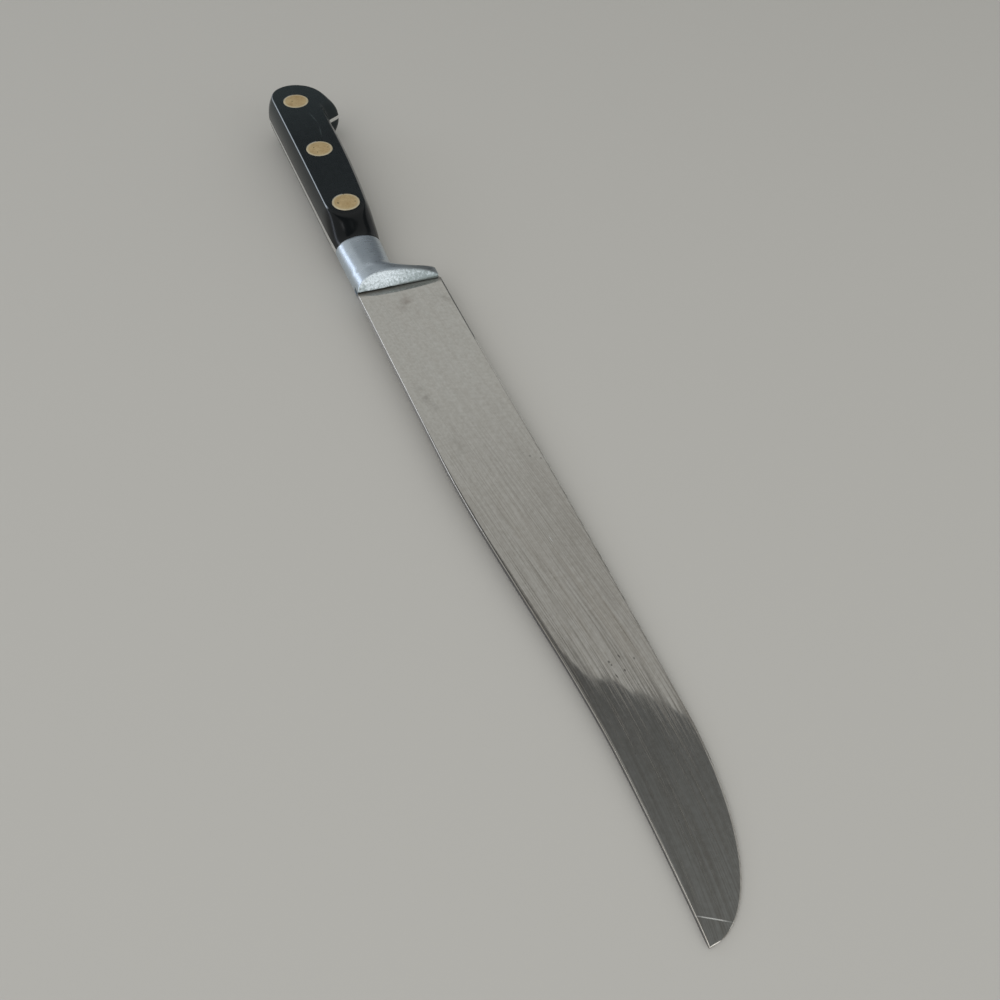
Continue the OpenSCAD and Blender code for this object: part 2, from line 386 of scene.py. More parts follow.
def make_scale(name, node, side, material):
    stations = handle_stations()
    rim = 0.1
    rings = [scale_ring(x, 0) for x in stations[:-1]]
    rings += [scale_ring(BOLSTER_BACK - rim, 0), scale_ring(BOLSTER_BACK, rim)]
    rings = np.array(rings)
    rings[:, :, 2] *= side
    piece = skin(name, rings, "scale")
    holes = []
    outside = side * (FLAT_Z + 1)
    for x in rivet_xs:
        holes.append(rod(x, SOCKET_D + 2 * SHANK_GAP, -1, outside))
        holes.append(rod(x, HEAD_D + 2 * HEAD_GAP, side * (FLAT_Z - HEAD_H), outside))
    cut(piece, holes)
    finish_faces(piece, material, sharp=38)
    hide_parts(node)


# The blade is one blank with the neck and the tang. Every ring has the same points: half of them from the
# middle of the spine wall over the near face to the edge, and the other half back again.
WALL_POINTS = 8
ROLL_STEPS = np.linspace(0, 0.12, 8)[:-1]
FACE_STEPS = np.concatenate([ROLL_STEPS, np.linspace(0.12, 0.96, 10), [0.98, 0.992, 1]])
EDGE_POINTS = 4
MOST_BLADE_SHARE = 1 / 3
MOST_EDGE_SHARE = 0.6


def close_ring(x, y, z):
    """A full ring from its near half."""
    y = np.concatenate([y, y[1:-1][::-1]])
    z = np.concatenate([z, -z[1:-1][::-1]])
    return np.column_stack([np.full(len(y), x), y, z])


def blade_ring(x, inset=0, thinner=0):
    spine, edge = spine_y(x) + inset, edge_y(x) - inset
    width, half = edge - spine, spine_th(x) / 2 - thinner
    shoulder = edge - min(EDGE_H, width * MOST_BLADE_SHARE)
    half_edge = min(EDGE_TH / 2, half * MOST_EDGE_SHARE)
    roll_w = min(ROLL_W, width * MOST_BLADE_SHARE)
    roll_drop = min(ROLL_DROP, half / 4)
    ease = min(SPINE_EASE, half / 2, width / 8)
    turn = np.linspace(0, math.pi / 2, WALL_POINTS - 1)
    bend = 2 / EASE_POWER
    face_y = mix(spine + ease, shoulder, FACE_STEPS)
    roll = roll_drop * clamp01(1 - (face_y - spine) / roll_w) ** 2
    face_z = mix(half, half_edge, FACE_STEPS) - roll
    wall_y = spine + ease * (1 - np.cos(turn) ** bend)
    wall_z = face_z[0] - ease * (1 - np.sin(turn) ** bend)
    down = np.linspace(0, 1, EDGE_POINTS + 1)[1:]
    y = np.concatenate([[spine], wall_y[:-1], face_y, mix(shoulder, edge, down)])
    z = np.concatenate([[0], wall_z[:-1], face_z, half_edge * (1 - down)])
    return close_ring(x, y, z)


def bar_ring(x, low, high, half):
    """A ring of the neck, with square corners."""
    wall = np.linspace(0, half, WALL_POINTS)[:-1]
    down = np.linspace(0, 1, EDGE_POINTS + 1)[1:]
    face = mix(low, high, FACE_STEPS)
    y = np.concatenate([np.full(len(wall), low), face, np.full(len(down), high)])
    z = np.concatenate([wall, np.full(len(face), half), half * (1 - down)])
    return close_ring(x, y, z)


def tang_ring(x):
    """A ring of the tang: the handle's oval between the faces that the scales lie on."""
    oval, half = handle_oval_half(x), tang_half(x)
    foot = math.asin(min(1, half / oval))
    wall = math.pi - np.linspace(0, foot, WALL_POINTS)[:-1]
    face = math.acos(-math.cos(foot)) - FACE_STEPS * (math.pi - 2 * foot)
    down = foot * (1 - np.linspace(0, 1, EDGE_POINTS + 1)[1:])
    angles = np.concatenate([wall, face, down])
    y = handle_oval_y(x, angles)
    z = np.minimum(oval * np.sin(angles), half)
    z[-1] = 0
    return close_ring(x, y, z)


def make_blade(steel, dull):
    neck_low, neck_high = COLLAR_SPINE_Y + NECK_INSET, COLLAR_BELLY_Y - NECK_INSET
    step, root_thinner = 0.01, 0.1
    last_turn = 89.2
    wall_normal = -0.93
    straight = np.linspace(0, BELLY_X, 110)
    belly = BELLY_X + BELLY_LEN * np.sin(np.radians(np.linspace(0, last_turn, 60)))[1:]
    rings = [tang_ring(x) for x in handle_stations()]
    rings += [bar_ring(BOLSTER_BACK + step, neck_low, neck_high, NECK_HALF)]
    rings += [bar_ring(-ROOT_DEPTH - step, neck_low, neck_high, NECK_HALF)]
    rings += [blade_ring(-ROOT_DEPTH + step, ROOT_INSET, root_thinner)]
    rings += [blade_ring(x) for x in np.concatenate([straight, belly])]
    piece = skin("blade_blank", np.array(rings), "blade_steel")
    cut(piece, [rod(x, SOCKET_D + 2 * SHANK_GAP, -FLAT_Z, FLAT_Z) for x in rivet_xs])
    finish_faces(piece, steel, sharp=28)
    # The spine's wall in front of the bolster has its own material, darkened with painted shade
    piece.data.materials.append(dull)
    for face in piece.data.polygons:
        if face.normal.y < wall_normal and face.center.x > knife_origin.x:
            face.material_index = 1
    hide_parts("blade")


# The bolster is one skin: rings along the collar and the wing, a small round at the rim, and then the front
# face, whose points move in and out as the skin of a casting does
BOLSTER_SIDES = 180
FACE_RINGS = (0.07, 0.15, 0.23, 0.31, 0.4, 0.48, 0.56, 0.64, 0.72, 0.79, 0.86, 0.91, 0.95, 0.975, 1)
CAST_RELIEF = 0.028
HEEL_SOFTNESS = 0.06


def bolster_section(x):
    """Oval of the bolster at each angle, as Y and Z, for one X an angle."""
    angle = np.linspace(0, 2 * math.pi, BOLSTER_SIDES, endpoint=False)
    c, s = np.cos(angle), np.sin(angle)
    share = smooth(wing_h(x) / WING_FULL_H)
    low = mix(COLLAR_SPINE_Y, SPINE_ROOT_Y, along_bolster(x))
    high = COLLAR_BELLY_Y - COLLAR_DRAW_IN * along_bolster(x) + wing_h(x)
    high = np.minimum(high, HEEL_Y + WING_REACH)
    crest = mix((low + COLLAR_BELLY_Y) / 2, WING_CREST_Y, share)
    bend = np.where(c > 0, 2 / mix(2, WING_POWER, share), 1)
    reach = np.where(c > 0, high - crest, crest - low)
    half = mix(COLLAR_TH, FRONT_TH, along_bolster(x)) / 2
    y = crest + reach * np.sign(c) * np.abs(c) ** bend
    z = half * np.sign(s) * np.abs(s) ** bend
    return soft_min(y, HEEL_Y, HEEL_SOFTNESS), z


def front_x(z):
    """The leaning front face, above and below the blade."""
    face = BLADE_TH / 2
    return -FRONT_LEAN * np.maximum(np.abs(z) - face, 0) / (FRONT_TH / 2 - face)


def cast_skin(y, z):
    """Height of the casting's rough front face, from lumps of two sizes."""
    heights = []
    for py, pz in zip(y, z):
        lumps = noise.noise(Vector((py / 1.6, pz / 1.1, 3)))
        grains = noise.noise(Vector((py / 0.5, pz / 0.4, 9)))
        heights.append(0.25 * lumps + 0.75 * grains)
    return np.array(heights)


def front_rim_x():
    """Where each line along the bolster meets the leaning front face, found by closing in on it."""
    end_x = np.zeros(BOLSTER_SIDES)
    for _ in range(20):
        end_x = mix(end_x, front_x(bolster_section(end_x)[1]), 0.6)
    return end_x


def make_bolster(sanded, rough):
    wing_start = WING_FOOT_X - 5 * WING_CORNER
    back_rim, back_draw = 0.12, 0.012
    face_mid_y = WING_CREST_Y + 4
    slot_end_gap, slot_side_gap = 0.4, 0.02
    relief_start = 0.12
    front_reach, facing_front = SEAM_DEPTH + 0.1, 0.5
    end_x = front_rim_x()
    back_x = np.full(BOLSTER_SIDES, BOLSTER_BACK)
    y, z = bolster_section(back_x)
    rings = [np.column_stack([back_x, mix(y, COLLAR_MID_Y, back_draw), z * (1 - back_draw)])]
    for x in np.linspace(BOLSTER_BACK + back_rim, wing_start, 20)[:-1]:
        y, z = bolster_section(np.full(BOLSTER_SIDES, x))
        rings.append(np.column_stack([np.full(BOLSTER_SIDES, x), y, z]))
    for share in np.linspace(0, 1, 44):
        x = mix(wing_start, end_x - RIM_ROUND, share)
        y, z = bolster_section(x)
        rings.append(np.column_stack([x, y, z]))
    rim_y, rim_z = y, z
    inward_y, inward_z = face_mid_y - rim_y, -3 * rim_z
    inward_len = np.hypot(inward_y, inward_z)
    for turn in np.radians([18, 36, 54, 72, 90]):
        inset = RIM_ROUND * (1 - math.cos(turn)) / inward_len
        y, z = rim_y + inward_y * inset, rim_z + inward_z * inset
        rings.append(np.column_stack([front_x(z) - RIM_ROUND * (1 - math.sin(turn)), y, z]))
    rim_y, rim_z = y, z
    slot_y = np.clip(rim_y, SPINE_ROOT_Y + slot_end_gap, HEEL_Y - slot_end_gap)
    slot_z = np.clip(rim_z, slot_side_gap - slot_half(slot_y), slot_half(slot_y) - slot_side_gap)
    for share in FACE_RINGS:
        y, z = mix(rim_y, slot_y, share), mix(rim_z, slot_z, share)
        relief = (cast_skin(y, z) - 0.5) * CAST_RELIEF * smooth(share / relief_start)
        seam = -SEAM_DEPTH * np.exp(-((np.abs(z) - slot_half(y)) / SEAM_W) ** 2)
        rings.append(np.column_stack([front_x(z) + relief + seam, y, z]))
    rings.append(np.column_stack([front_x(0 * z) - SEAM_DEPTH, slot_y, 0 * z]))
    piece = skin("bolster_cast", np.array(rings), "bolster_metal")
    ends = (SPINE_ROOT_Y - 1, HEEL_Y + 1)
    neck = (COLLAR_SPINE_Y + NECK_INSET, COLLAR_BELLY_Y - NECK_INSET)
    cut(piece, [
        wedge((-ROOT_DEPTH, 2), ends, [slot_half(y) for y in ends]),
        wedge((BOLSTER_BACK - 1, -ROOT_DEPTH / 2), neck, [NECK_HALF + SLOT_GAP] * 2),
    ])
    finish_faces(piece, sanded, sharp=35)
    # The front face keeps the casting's own skin
    piece.data.materials.append(rough)
    for face in piece.data.polygons:
        x, y, z = (face.center - knife_origin) / MM
        in_front = x > front_x(z) - front_reach and face.normal.x > facing_front
        if in_front and abs(z) > slot_half(y) - SLOT_GAP:
            face.material_index = 1
    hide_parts("bolster")


# Rivets

def make_rivets(material):
    tip_ease = 0.1
    head_foot = FLAT_Z - HEAD_H
    head, post, socket = HEAD_D / 2, POST_D / 2, SOCKET_D / 2
    turn = np.radians(np.linspace(0, 90, 6))
    rim = [
        (head - HEAD_EASE * (1 - math.cos(a)), FLAT_Z - HEAD_CROWN - HEAD_EASE * (1 - math.sin(a)))
        for a in turn
    ]
    crown = [
        (r * (head - HEAD_EASE), FLAT_Z - HEAD_CROWN * r * r)
        for r in (0.85, 0.7, 0.55, 0.4, 0.25, 0)
    ]
    shank_end = SHANK_END_GAP - head_foot
    for name, x in zip(RIVET_NAMES, rivet_xs):
        post_profile = [(0, shank_end), (post - tip_ease, shank_end), (post, shank_end + tip_ease)]
        post_profile += [(post, head_foot), (head, head_foot)] + rim + crown
        piece = turned("rivet_post_" + name, x, post_profile, "rivet_brass")
        finish_faces(piece, material, sharp=40)
        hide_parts(name + "_rivet_post")
        socket_profile = [(0, head_foot), (post, head_foot), (post, shank_end), (socket, shank_end)]
        socket_profile += [(socket, head_foot), (head, head_foot)] + rim + crown
        socket_profile = [(r, -z) for r, z in socket_profile]
        piece = turned("rivet_socket_" + name, x, socket_profile, "rivet_brass")
        finish_faces(piece, material, sharp=40)
        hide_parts(name + "_rivet_socket")


# Materials

def linear(hex_code):
    """An sRGB hex colour as linear red, green, blue and alpha."""
    parts = [int(hex_code[i:i + 2], 16) / 255 for i in (1, 3, 5)]
    return [p / 12.92 if p <= 0.04045 else ((p + 0.055) / 1.055) ** 2.4 for p in parts] + [1]


def add(tree, kind, inputs=(), **settings):
    """Adds a node with its settings. An input is a plain value, a socket, or a node, whose first output it
    takes."""
    node = tree.nodes.new(kind)
    for name, value in settings.items():
        setattr(node, name, value)
    for socket, value in dict(inputs).items():
        if isinstance(value, bpy.types.Node):
            value = next(out for out in value.outputs if out.enabled)
        if isinstance(value, bpy.types.NodeSocket):
            tree.links.new(value, node.inputs[socket])
        else:
            node.inputs[socket].default_value = value
    return node


def start_material(name):
    material = bpy.data.materials.new(name)
    material.use_nodes = True
    material.node_tree.nodes.clear()
    return material, material.node_tree


def knife_place(tree):
    """Object coordinates in millimetres from the foot of the blade, and the three of them apart."""
    coords = add(tree, "ShaderNodeTexCoord").outputs["Object"]
    back = [-v / MM for v in knife_origin]
    place = add(tree, "ShaderNodeMapping", {"Vector": coords, "Location": back, "Scale": [1 / MM] * 3})
    return place, *add(tree, "ShaderNodeSeparateXYZ", {"Vector": place}).outputs


def mark(tree, place, centre, size, turn=0, level=0.8):
    """A soft oval patch on the near side: 1 in its middle and 0 outside. Its sizes are radii, its turn is in
    degrees, and its level is the height of the surface that it lies on."""
    height = 1.6
    local = add(tree, "ShaderNodeMapping", {
        "Vector": place, "Location": (*centre, level),
        "Rotation": (0, 0, math.radians(turn)), "Scale": (*size, height),
    }, vector_type="TEXTURE")
    reach = add(tree, "ShaderNodeVectorMath", {0: local}, operation="LENGTH").outputs["Value"]
    return add(tree, "ShaderNodeMapRange", {"Value": reach, "From Min": 1, "From Max": 0},
               interpolation_type="SMOOTHSTEP")


def ground_stainless_steel():
    """Stainless steel, ground on a wheel and worn: nearly a mirror at the heel, with a faint haze of stains,
    and fine bowed grind lines over the front half, dark in a bright reflection and light in a dark one."""
    material, tree = start_material("ground_stainless_steel")
    place, x, y, z = knife_place(tree)
    # The grind lines follow arcs of a large wheel towards the tip, and run straight behind them
    wheel_x, wheel_r, arc_reach = 158, 250, -33
    off = add(tree, "ShaderNodeMath", {0: x, 1: wheel_x}, operation="SUBTRACT")
    on_arc = add(tree, "ShaderNodeMath", {0: off, 1: arc_reach}, operation="MAXIMUM")
    straight = add(tree, "ShaderNodeMath", {0: off, 1: on_arc}, operation="SUBTRACT")
    square = add(tree, "ShaderNodeMath", {0: on_arc, 1: on_arc}, operation="MULTIPLY")
    across = add(tree, "ShaderNodeMath", {0: square, 1: 0.5 / wheel_r, 2: y}, operation="MULTIPLY_ADD")
    across = add(tree, "ShaderNodeMath", {0: straight, 1: arc_reach / wheel_r, 2: across},
                 operation="MULTIPLY_ADD")
    arc = add(tree, "ShaderNodeCombineXYZ", {"X": x, "Y": across, "Z": z})
    # Lines of three sizes, with their length and width in millimetres
    layers = []
    for length, width in ((20, 0.27), (34, 0.55), (60, 3.2)):
        grid = add(tree, "ShaderNodeMapping", {"Vector": arc, "Scale": (1 / length, 1 / width, 1)})
        layers.append(add(tree, "ShaderNodeTexNoise", {"Vector": grid, "Scale": 1, "Detail": 2}))
    scratches, lines, bands = layers
    # The heel half has hardly a line
    lined = add(tree, "ShaderNodeMapRange", {"Value": x, "From Min": 35, "From Max": 120, "To Min": 0.15},
                interpolation_type="SMOOTHSTEP")
    # Rougher scratches are the tops of the finest noise
    cuts = add(tree, "ShaderNodeMapRange", {"Value": scratches, "From Min": 0.5, "From Max": 0.8})
    cuts = add(tree, "ShaderNodeMath", {0: cuts, 1: lined}, operation="MULTIPLY")
    dense = add(tree, "ShaderNodeMix", {"Factor": 0.3, "A": scratches, "B": lines})
    wear = add(tree, "ShaderNodeMapRange", {"Value": dense, "From Min": 0.42, "From Max": 0.64})
    wear = add(tree, "ShaderNodeMath", {0: wear, 1: lined}, operation="MULTIPLY")
    stipple = add(tree, "ShaderNodeTexNoise", {"Vector": place, "Scale": 1 / 0.7, "Detail": 2})
    mottle = add(tree, "ShaderNodeTexNoise", {
        "Vector": place, "Scale": 1 / 1.1, "Detail": 4, "Roughness": 0.7,
    })
    cloud = add(tree, "ShaderNodeTexNoise", {"Vector": place, "Scale": 1 / 7, "Detail": 4, "Roughness": 0.6})
    # Stains and handling marks on the near side: colour, strength, centre, radii and turn
    stains = (
        ("#8a7d74", 0.7, (9.5, 5.5), (7, 5), 20),
        ("#77726a", 0.75, (11, 18.2), (6, 1.8), 35),
        ("#85827c", 0.7, (48, -2.3), (10, 2.4), 12),
        ("#85827c", 0.65, (69, 0), (8, 2), 10),
        ("#9c9489", 0.35, (121, 7.5), (4, 6), 0),
        ("#5f5d59", 0.7, (154, 11.2), (10, 0.5), 9),
        ("#86827b", 0.55, (112, 17.5), (42, 5), 3),
    )
    base = add(tree, "ShaderNodeMix", {"Factor": bands, "A": linear("#cfccc5"), "B": linear("#d8d8d3")},
               data_type="RGBA")
    spots = add(tree, "ShaderNodeMapRange", {"Value": cloud, "From Min": 0.42, "From Max": 0.62})
    coats = []
    for colour, strength, centre, size, turn in stains:
        oval = mark(tree, place, centre, size, turn)
        share = add(tree, "ShaderNodeMath", {0: oval, 1: spots}, operation="MULTIPLY")
        coats.append((add(tree, "ShaderNodeMath", {0: share, 1: strength}, operation="MULTIPLY"), colour))
    # The front half is a little duller, its lines are darker than the ground between them, and faint brown
    # streaks show where it has tarnished
    dull = add(tree, "ShaderNodeMath", {0: lined, 1: 0.75}, operation="MULTIPLY")
    tarnish = add(tree, "ShaderNodeMapRange", {
        "Value": bands, "From Min": 0.5, "From Max": 0.68, "To Max": 0.1,
    })
    tarnish = add(tree, "ShaderNodeMath", {0: tarnish, 1: lined}, operation="MULTIPLY")
    coats += [(dull, "#bfbcb6"), (wear, "#aca8a1"), (tarnish, "#a08f78")]
    for share, colour in coats:
        base = add(tree, "ShaderNodeMix", {"Factor": share, "A": base, "B": linear(colour)},
                   data_type="RGBA")
    # Fingers and years leave a fine cloudy grain all over
    grain = add(tree, "ShaderNodeMapRange", {"Value": mottle, "From Min": 0.35, "From Max": 0.65})
    base = add(tree, "ShaderNodeMix", {"Factor": grain, "A": base, "B": linear("#f0efed")},
               data_type="RGBA", blend_type="MULTIPLY")
    # Painted shade on the blade along the bolster, fading towards the heel, where the corner is also rougher
    # because no wheel reaches it, and a tang that hands rub bright
    corner = add(tree, "ShaderNodeMapRange", {
        "Value": x, "From Min": 0.4, "From Max": 2.2, "To Min": 1, "To Max": 0,
    })
    heel_side = add(tree, "ShaderNodeMapRange", {
        "Value": y, "From Min": 2, "From Max": 12, "To Min": 0.9, "To Max": 0.35,
    })
    # Painted shade along the bolster
    bolster_shade = add(tree, "ShaderNodeMath", {0: corner, 1: heel_side}, operation="MULTIPLY")
    tang = add(tree, "ShaderNodeMath", {0: x, 1: BOLSTER_BACK}, operation="LESS_THAN")
    # Small pits, a few anywhere and most in one cluster
    cells = add(tree, "ShaderNodeTexVoronoi", {"Vector": place, "Scale": 1 / 2.2})
    cluster = mark(tree, place, (138.5, 11.5), (6, 5))
    pit_size = add(tree, "ShaderNodeMath", {0: cluster, 1: 0.12, 2: 0.04}, operation="MULTIPLY_ADD")
    rare = add(tree, "ShaderNodeSeparateColor", {"Color": cells.outputs["Color"]})
    pick = add(tree, "ShaderNodeMath", {0: rare, 1: 0.75}, operation="GREATER_THAN")
    pit_size = add(tree, "ShaderNodeMath", {0: pit_size, 1: pick}, operation="MULTIPLY")
    pits = add(tree, "ShaderNodeMath", {0: cells.outputs["Distance"], 1: pit_size}, operation="LESS_THAN")
    # Single nicks: centre, radii and turn
    nicks = (
        ((137.3, 9.4), (0.5, 0.35), 0), ((138.2, 9.6), (0.4, 0.3), 0), ((136.8, 12.2), (0.7, 0.3), 20),
        ((140.4, 11.9), (0.5, 0.4), 0), ((141, 9.5), (0.9, 0.25), 15), ((138.5, 15.3), (0.5, 0.3), 0),
        ((76.2, 16.7), (0.5, 0.3), 0), ((77.8, 19.2), (0.4, 0.3), 0),
    )
    for centre, size, turn in nicks:
        nick = mark(tree, place, centre, size, turn)
        pits = add(tree, "ShaderNodeMath", {0: pits, 1: nick}, operation="MAXIMUM")
    # Two scratches that stand out: one right across the tip, and a short one in the middle of the blade
    tip_scratch = mark(tree, place, (192.1, 4.4), (6.5, 0.22), 59.7)
    short_scratch = mark(tree, place, (102.3, 10.9), (1.6, 0.24), 4)
    deep = add(tree, "ShaderNodeMath", {0: tip_scratch, 1: short_scratch}, operation="MAXIMUM")
    for share, colour in ((bolster_shade, "#5e584e"), (tang, "#e3e3e0"), (pits, "#3c3a37"), (deep, "#f0f0ec")):
        base = add(tree, "ShaderNodeMix", {"Factor": share, "A": base, "B": linear(colour)},
                   data_type="RGBA")
    rough = add(tree, "ShaderNodeMapRange", {"Value": stipple, "To Min": 0.02, "To Max": 0.05})
    for share, rougher in ((wear, 0.04), (cuts, 0.3), (corner, 0.4), (deep, 0.65)):
        rough = add(tree, "ShaderNodeMath", {0: share, 1: rougher, 2: rough}, operation="MULTIPLY_ADD")
    # A ground face is never quite flat, so the edges of what it reflects waver
    swell = add(tree, "ShaderNodeMapping", {"Vector": arc, "Scale": (1 / 16, 1 / 6, 1)})
    swell = add(tree, "ShaderNodeTexNoise", {"Vector": swell, "Scale": 1, "Detail": 1})
    bump = add(tree, "ShaderNodeBump", {"Height": swell, "Distance": 0.03 * MM, "Strength": 1})
    shader = add(tree, "ShaderNodeBsdfPrincipled", {
        "Base Color": base, "Metallic": 1, "Roughness": rough, "Normal": bump,
    })
    add(tree, "ShaderNodeOutputMaterial", {"Surface": shader})
    return material


def belt_ground_spine():
    """The same steel along the back of the blade, left as the belt ground it: duller than the faces, and
    darker with painted shade towards the tip, where it stands for the shadowed floor that the spine
    reflects; lighter towards the handle."""
    material, tree = start_material("belt_ground_spine")
    place, x, _, _ = knife_place(tree)
    grid = add(tree, "ShaderNodeMapping", {"Vector": place, "Scale": (1 / 5, 1, 1 / 0.25)})
    belt = add(tree, "ShaderNodeTexNoise", {"Vector": grid, "Scale": 1, "Detail": 3})
    colour = add(tree, "ShaderNodeMix", {"Factor": belt, "A": linear("#626266"), "B": linear("#808084")},
                 data_type="RGBA")
    # Painted shade: dark towards the tip, lightening towards the handle
    lighter_to_handle = add(tree, "ShaderNodeMapRange", {"Value": x, "From Min": 105, "From Max": 15})
    colour = add(tree, "ShaderNodeMix", {"Factor": lighter_to_handle, "A": colour, "B": linear("#cdcdd0")},
                 data_type="RGBA")
    rough = add(tree, "ShaderNodeMapRange", {"Value": belt, "To Min": 0.3, "To Max": 0.45})
    shader = add(tree, "ShaderNodeBsdfPrincipled", {"Base Color": colour, "Metallic": 1, "Roughness": rough})
    add(tree, "ShaderNodeOutputMaterial", {"Surface": shader})
    return material


def sanded_cast_alloy():
    """Light cast alloy, sanded round the collar: satin and a little blue beside the steel."""
    material, tree = start_material("sanded_cast_alloy")
    place, _, y, _ = knife_place(tree)
    grid = add(tree, "ShaderNodeMapping", {"Vector": place, "Scale": (1 / 0.35, 1 / 3, 1 / 3)})
    sanding = add(tree, "ShaderNodeTexNoise", {"Vector": grid, "Scale": 1, "Detail": 3})
    cloud = add(tree, "ShaderNodeTexNoise", {"Vector": place, "Scale": 1 / 4, "Detail": 3})
    colour = add(tree, "ShaderNodeMix", {"Factor": cloud, "A": linear("#c2ced8"), "B": linear("#d3dde6")},
                 data_type="RGBA")
    # Darker along the wing: painted shade, standing for the shadowed floor that the wing reflects
    wing = add(tree, "ShaderNodeMapRange", {"Value": y, "From Min": 3, "From Max": 11, "To Max": 0.75})
    colour = add(tree, "ShaderNodeMix", {"Factor": wing, "A": colour, "B": linear("#989c9b")},
                 data_type="RGBA")
    rough = add(tree, "ShaderNodeMapRange", {
        "Value": sanding, "From Min": 0.3, "From Max": 0.7, "To Min": 0.26, "To Max": 0.34,
    })
    bump = add(tree, "ShaderNodeBump", {"Height": sanding, "Distance": 0.0008 * MM, "Strength": 1})
    shader = add(tree, "ShaderNodeBsdfPrincipled", {
        "Base Color": colour, "Metallic": 1, "Roughness": rough, "Normal": bump,
    })
    add(tree, "ShaderNodeOutputMaterial", {"Surface": shader})
    return material


def raw_cast_alloy():
    """The same alloy as it left the mould: bright grains, with dark soil in the hollows between them."""
    material, tree = start_material("raw_cast_alloy")
    place, _, y, z = knife_place(tree)
    grains = add(tree, "ShaderNodeTexNoise", {
        "Vector": place, "Scale": 1 / 0.45, "Detail": 3, "Roughness": 0.7,
    })
    clear = add(tree, "ShaderNodeMapRange", {"Value": grains, "From Min": 0.36, "From Max": 0.6})
    patches = add(tree, "ShaderNodeTexNoise", {
        "Vector": place, "Scale": 1 / 0.8, "Detail": 4, "Roughness": 0.7,
    })
    colour = add(tree, "ShaderNodeMix", {"Factor": clear, "A": linear("#c3cdd0"), "B": linear("#ecf4f8")},
                 data_type="RGBA")
    # Dirt in patches, greyer towards both ends; darker towards the foot with painted shade, and a near-black
    # line of painted shade in the corner against the blade
    height = add(tree, "ShaderNodeMath", {0: z}, operation="ABSOLUTE")
    over_blade = add(tree, "ShaderNodeMath", {0: y, 1: SLOT_SLOPE, 2: height}, operation="MULTIPLY_ADD")
    foot_z = slot_half(0)
    # Painted shade: darker towards the foot, next to the blade
    low = add(tree, "ShaderNodeMapRange", {
        "Value": over_blade, "From Min": foot_z + 0.3, "From Max": foot_z + 2.4, "To Min": 0.16, "To Max": 0,
    })
    heel = add(tree, "ShaderNodeMapRange", {"Value": y, "From Min": 2, "From Max": 12, "To Max": 0.22})
    back = add(tree, "ShaderNodeMapRange", {"Value": y, "From Min": -3, "From Max": -7, "To Max": 0.1})
    dirt_and_shade = patches
    for more in (low, heel, back):
        dirt_and_shade = add(tree, "ShaderNodeMath", {0: dirt_and_shade, 1: more}, operation="ADD")
    dirt_and_shade = add(tree, "ShaderNodeMapRange", {"Value": dirt_and_shade, "From Min": 0.5, "From Max": 0.8, "To Max": 0.85})
    # Painted shade: a near-black line in the corner against the blade
    seam_shade = add(tree, "ShaderNodeMapRange", {
        "Value": over_blade, "From Min": foot_z + 0.14, "From Max": foot_z + 0.3, "To Min": 1, "To Max": 0,
    })
    for share, shade in ((dirt_and_shade, "#84908f"), (seam_shade, "#16130f")):
        colour = add(tree, "ShaderNodeMix", {"Factor": share, "A": colour, "B": linear(shade)},
                     data_type="RGBA")
    rough = add(tree, "ShaderNodeMapRange", {"Value": grains, "To Min": 0.35, "To Max": 0.6})
    bump = add(tree, "ShaderNodeBump", {"Height": grains, "Distance": 0.035 * MM, "Strength": 1})
    shader = add(tree, "ShaderNodeBsdfPrincipled", {
        "Base Color": colour, "Metallic": 1, "Roughness": rough, "Normal": bump,
    })
    add(tree, "ShaderNodeOutputMaterial", {"Surface": shader})
    return material


